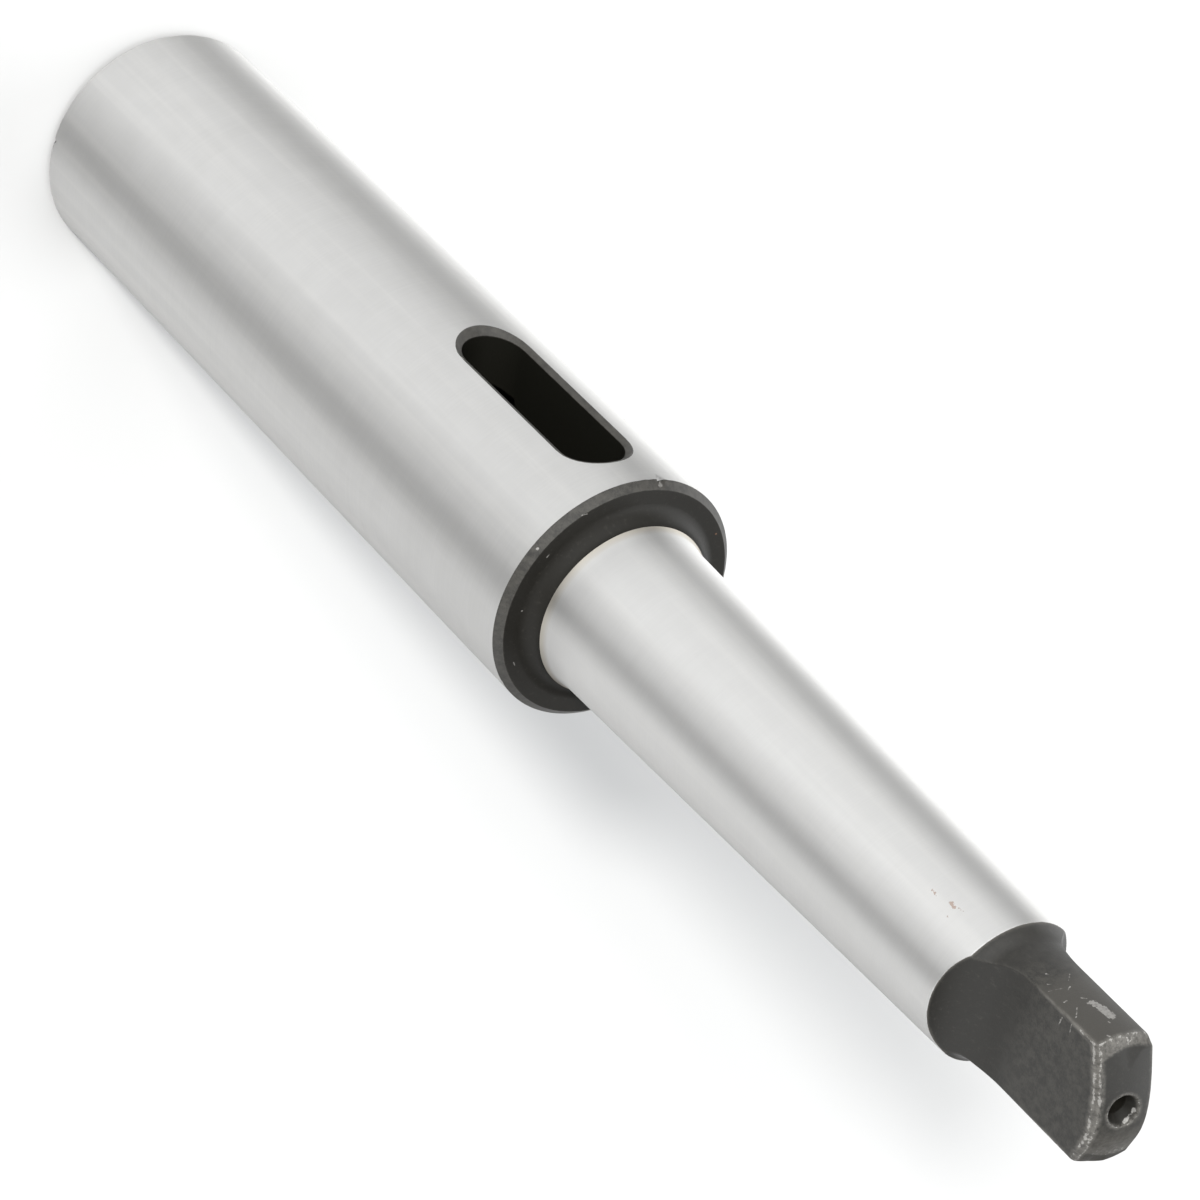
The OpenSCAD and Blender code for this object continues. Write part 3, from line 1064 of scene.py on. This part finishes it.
def steel(name, anisotropy, specular):
    """Steel that is ground or black as its marks say, with its own anisotropy and specular level."""
    material, g = new_material(name)
    place = g.times(g.node("TexCoord").outputs["Object"], 1000, 1000, 1000)
    oxide = g.node("Attribute", attribute_name="oxide").outputs["Fac"]
    edge = g.node("Attribute", attribute_name="edge").outputs["Fac"]

    grain = g.noise(place, 6.0, 3, 0.65)
    cloud = g.noise(place, 0.35, 3, 0.55)
    patch = g.noise(place, 1.3, 3, 0.6)
    speckle = g.noise(place, 2.6, 4, 0.7)
    wobble = g.math("SUBTRACT", g.noise(place, 3.4, 3, 0.58), 0.5)
    lines = g.noise(g.times(place, 0.12, 0.12, 7.5), 1, 3, 0.6)
    streaks = g.noise(g.times(place, 0.7, 0.7, 0.015), 1, 3, 0.55)
    scuffs = g.noise(g.times(place, 2.4, 2.4, 0.7), 1, 5, 0.75)
    turning = g.noise(g.times(place, 0.25, 0.25, 4.2), 1, 2, 0.5)

    black = g.step(g.scaled(wobble, 0.3, oxide), -0.1, 0.15)
    bare_marks = marked(g, place, wobble, BARE)
    rust = marked(g, place, wobble, RUST)

    # Edges lose their oxide in an uneven line, with rubbed steel beside it. Only this loss makes relief: the
    # bump computes all that feeds it three times, and a shader's room is small.
    width = g.step(patch, 0.35, 0.7, -0.06, 0.09)
    close = g.math("SUBTRACT", g.scaled(wobble, 0.35, edge), width)
    scatter = g.scaled(patch, 0.55, g.scaled(speckle, 0.45))
    lost = g.scaled(g.step(close, -0.03, 0.06, 1, 0), g.step(scatter, 0.38, 0.6, 0.25, 0.85))
    # Rubbed steel beside worn edges, and a painted sheen on the tang's end.
    rubbed_and_sheen = g.scaled(g.step(edge, 0, 0.45, 0.7, 0), g.step(scuffs, 0.34, 0.66, 0.1, 1))
    bare = g.scaled(bare_marks, g.step(speckle, 0.3, 0.6, 0.3, 0.8))
    worn = g.math("MAXIMUM", lost, bare)

    # Ground steel, with the shank painted brighter, a painted sheen, and the pale line
    height_up = g.feed(g.node("SeparateXYZ"), i0=place).outputs[2]
    ground_colour = g.layers(
        GROUND_DARK,
        (g.step(cloud, 0.2, 0.8), GROUND_PALE),
        (g.step(lines, 0.3, 0.7, 0, 0.12), LINE_COLOUR),
        (g.step(streaks, 0.45, 0.75, 0, 0.25), STREAK_COLOUR),
        (g.step(height_up, BODY_LEN, BODY_LEN + 1, 0, 0.2), SHANK_PAINTED_SHEEN),
        (g.step(edge, FAR, CREAM, 0, 0.8), CREAM_COLOUR),
    )

    # Black steel, with a tint for each level
    tone = g.scaled(patch, 0.55, g.scaled(grain, 0.45))
    black_colour = g.layers(
        OXIDE_DARK,
        (g.step(tone, 0.38, 0.62), OXIDE_PALE),
        (g.step(oxide, RUBBED, BLACK, 1, 0), CHAMFER_COLOUR),
        (g.step(oxide, 0, RUBBED, 1, 0), SMUDGE_COLOUR),
        # Painted shade on the faces, the socket's mouth and the centre hole.
        (g.step(oxide, BLACK, DEEP_SHADE_FROM), DEEP_SHADE_COLOUR),
        (g.step(scuffs, 0.54, 0.74, 0, 0.5), CHAMFER_COLOUR),
        # Painted shade, darkest, inside the socket and the slot.
        (g.step(oxide, DEEP_SHADE, INSIDE_SHADE), INSIDE_SHADE_COLOUR),
        (rubbed_and_sheen, RUBBED_AND_SHEEN_COLOUR),
        (worn, BARE_COLOUR),
    )
    colour = g.layers(ground_colour, (black, black_colour), (g.scaled(rust, 0.75), RUST_COLOUR))

    black_metal = g.math("MAXIMUM", worn, g.scaled(rubbed_and_sheen, 0.5))
    metallic = g.math("SUBTRACT", g.blend(black, 1.0, black_metal), g.scaled(rust, 0.5))
    ground_rough = g.scaled(lines, 0.06, g.scaled(cloud, 0.02, 0.4))
    black_rough = g.blend(worn, g.scaled(grain, 0.18, 0.38), 0.38)
    roughness = g.math("MAXIMUM", g.blend(black, ground_rough, black_rough), g.scaled(rust, 0.7))

    # Relief, in millimetres
    ground_height = g.scaled(lines, 0.0006, g.scaled(grain, 0.0003))
    black_height = g.scaled(turning, 0.004, g.scaled(grain, 0.008))
    height = g.scaled(lost, -0.01, g.blend(black, ground_height, black_height))
    bump = g.feed(g.node("Bump"), strength=1.0, distance=MM, height=height)

    shader = g.node("BsdfPrincipled")
    g.feed(shader, base_color=colour, metallic=metallic, roughness=roughness, normal=bump.outputs[0])
    g.feed(shader, anisotropic=anisotropy, anisotropic_rotation=0.25, specular_ior_level=specular)
    g.feed(shader, tangent=g.node("Tangent", direction_type="RADIAL", axis="Z").outputs[0])
    g.end(shader)
    return material


def share_out(thing):
    """Gives each face the material for how black it is and how much shade is painted on it."""
    mesh = thing.data
    values = np.zeros(len(mesh.loops), np.float32)
    mesh.attributes["oxide"].data.foreach_get("value", values)
    starts = np.zeros(len(mesh.polygons), np.int32)
    mesh.polygons.foreach_get("loop_start", starts)
    mean = np.add.reduceat(values, starts) / np.diff(np.append(starts, len(values)))
    finish = np.digitize(mean, [0, DEEP_SHADE_FROM, INSIDE_SHADE_FROM])
    mesh.polygons.foreach_set("material_index", finish.astype(np.int32))
    mesh.update()


# The last two finishes are darker, less glossy copies of the black steel: painted shade.
finishes = [
    steel("ground_steel", 1.0, 0.5),
    steel("black_steel", 0.2, 0.42),
    steel("deep_black_steel", 0.2, 0.2),
    steel("inside_black_steel", 0.2, 0.08),
]
socket_piece = build_socket("extension_socket_steel", finishes)
share_out(socket_piece)
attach(socket_piece, "root")
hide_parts("extension_socket")


# Floor, camera and light

FLOOR_HALF = 4.0
FLOOR_Z = -0.00003
FLOOR_COLOUR = (0.41, 0.412, 0.414, 1)


def add_floor():
    """A plain pale floor, a little below the part."""
    mesh = bpy.data.meshes.new("floor")
    corners = [(x * FLOOR_HALF, y * FLOOR_HALF, 0) for x, y in ((-1, -1), (1, -1), (1, 1), (-1, 1))]
    mesh.from_pydata(corners, [], [(0, 1, 2, 3)])
    material, g = new_material("floor")
    shader = g.feed(g.node("BsdfPrincipled"), base_color=FLOOR_COLOUR, roughness=0.9)
    g.feed(shader, specular_ior_level=0.1)
    g.end(shader)
    mesh.materials.append(material)
    floor = put_in_scene("floor", mesh)
    floor.location.z = FLOOR_Z


CAMERA_PLACE = Vector((0.24092, -0.23859, 0.3865))
CAMERA_BACK = Vector((0.53462, -0.53226, 0.65642)).normalized()
CAMERA_UP = Vector((-0.16777, -0.82813, -0.53485))
CAMERA_LENS = 141.3


def add_camera():
    """The camera at the photo's place and angle."""
    data = bpy.data.cameras.new("camera")
    data.lens = CAMERA_LENS
    data.sensor_width = 36
    data.clip_start = 0.01
    camera = put_in_scene("camera", data)
    right = CAMERA_UP.cross(CAMERA_BACK).normalized()
    turn = Matrix((right, CAMERA_BACK.cross(right), CAMERA_BACK)).transposed()
    camera.matrix_world = Matrix.Translation(CAMERA_PLACE) @ turn.to_4x4()
    bpy.context.scene.camera = camera


# The studio round the part: soft bright panels and dark gaps between them, each with its azimuth, half width
# and change of brightness
STUDIO_BASE = 1.0
PANELS = (
    (-80, 37, 1.35),
    (-30, 25, 0.75),
    (4, 13, -0.95),
    (38, 26, 0.65),
    (124, 28, -1.1),
    (172, 34, 1.95),
    (-146, 15, -1.0),
)
STUDIO_TOP = 3.2
STUDIO_TINT = (0.985, 0.995, 1)
STUDIO_STOPS = 31
BACKDROP_COLOUR = (0.9, 0.905, 0.91, 1)


def studio(azimuth):
    """Brightness of the studio at an azimuth in degrees."""
    total = STUDIO_BASE
    for middle, half_width, change in PANELS:
        off = abs((azimuth - middle + 180) % 360 - 180)
        share = min(max(1.5 - off / half_width, 0), 1)
        total += change * share * share * (3 - 2 * share)
    return max(total, 0.03)


def add_world():
    """The studio as the part reflects it, before a plain backdrop that only the camera sees."""
    world = bpy.data.worlds.new("studio")
    bpy.context.scene.world = world
    world.use_nodes = True
    g = Graph(world.node_tree)
    way = g.node("TexCoord").outputs["Generated"]
    parts = g.feed(g.node("SeparateXYZ"), i0=way).outputs
    turn = g.scaled(g.math("ARCTAN2", parts[1], parts[0]), 0.5 / math.pi, 0.5)
    colours = g.feed(g.node("ValToRGB"), i0=turn)
    stops = colours.color_ramp.elements
    while len(stops) < STUDIO_STOPS:
        stops.new(1.0)
    for k, stop in enumerate(stops):
        stop.position = k / (STUDIO_STOPS - 1)
        value = studio(stop.position * 360 - 180) / STUDIO_TOP
        stop.color = (*(value * part for part in STUDIO_TINT), 1)
    background = g.feed(g.node("Background"), color=colours.outputs[0], strength=STUDIO_TOP)
    plain = g.feed(g.node("Background"), color=BACKDROP_COLOUR, strength=1.0)
    seen = g.node("LightPath").outputs["Is Camera Ray"]
    mix = g.feed(g.node("MixShader"), i0=seen, i1=background.outputs[0], i2=plain.outputs[0])
    g.end(mix, "OutputWorld")


# What moves the suns beside the camera and lowers them
KEY_SIDE = Vector((-0.704, -0.71, 0))
KEY_DROP = Vector((0, 0, -0.147))
KEY_COLOUR = (1.0, 0.985, 0.96)

# The suns: strength, spread in degrees, and degrees beside the camera
SUNS = ((1.9, 9, 6.2), (4.3, 4.2, 2.7))


def add_key_light(strength, spread, beside):
    """A soft sun, some degrees beside the camera and a little lower, so that the shadow reaches as far as the
    tang. The steel's gloss does not show it, so that its bands stay soft."""
    light = bpy.data.lights.new("key", "SUN")
    light.energy = strength
    light.angle = math.radians(spread)
    light.color = KEY_COLOUR
    key = put_in_scene("key", light)
    towards = CAMERA_BACK + KEY_DROP + math.tan(math.radians(beside)) * KEY_SIDE
    key.rotation_euler = towards.to_track_quat("Z", "Y").to_euler()
    key.visible_glossy = False


add_floor()
add_camera()
add_world()
for sun in SUNS:
    add_key_light(*sun)
bpy.context.scene.view_settings.view_transform = "Standard"
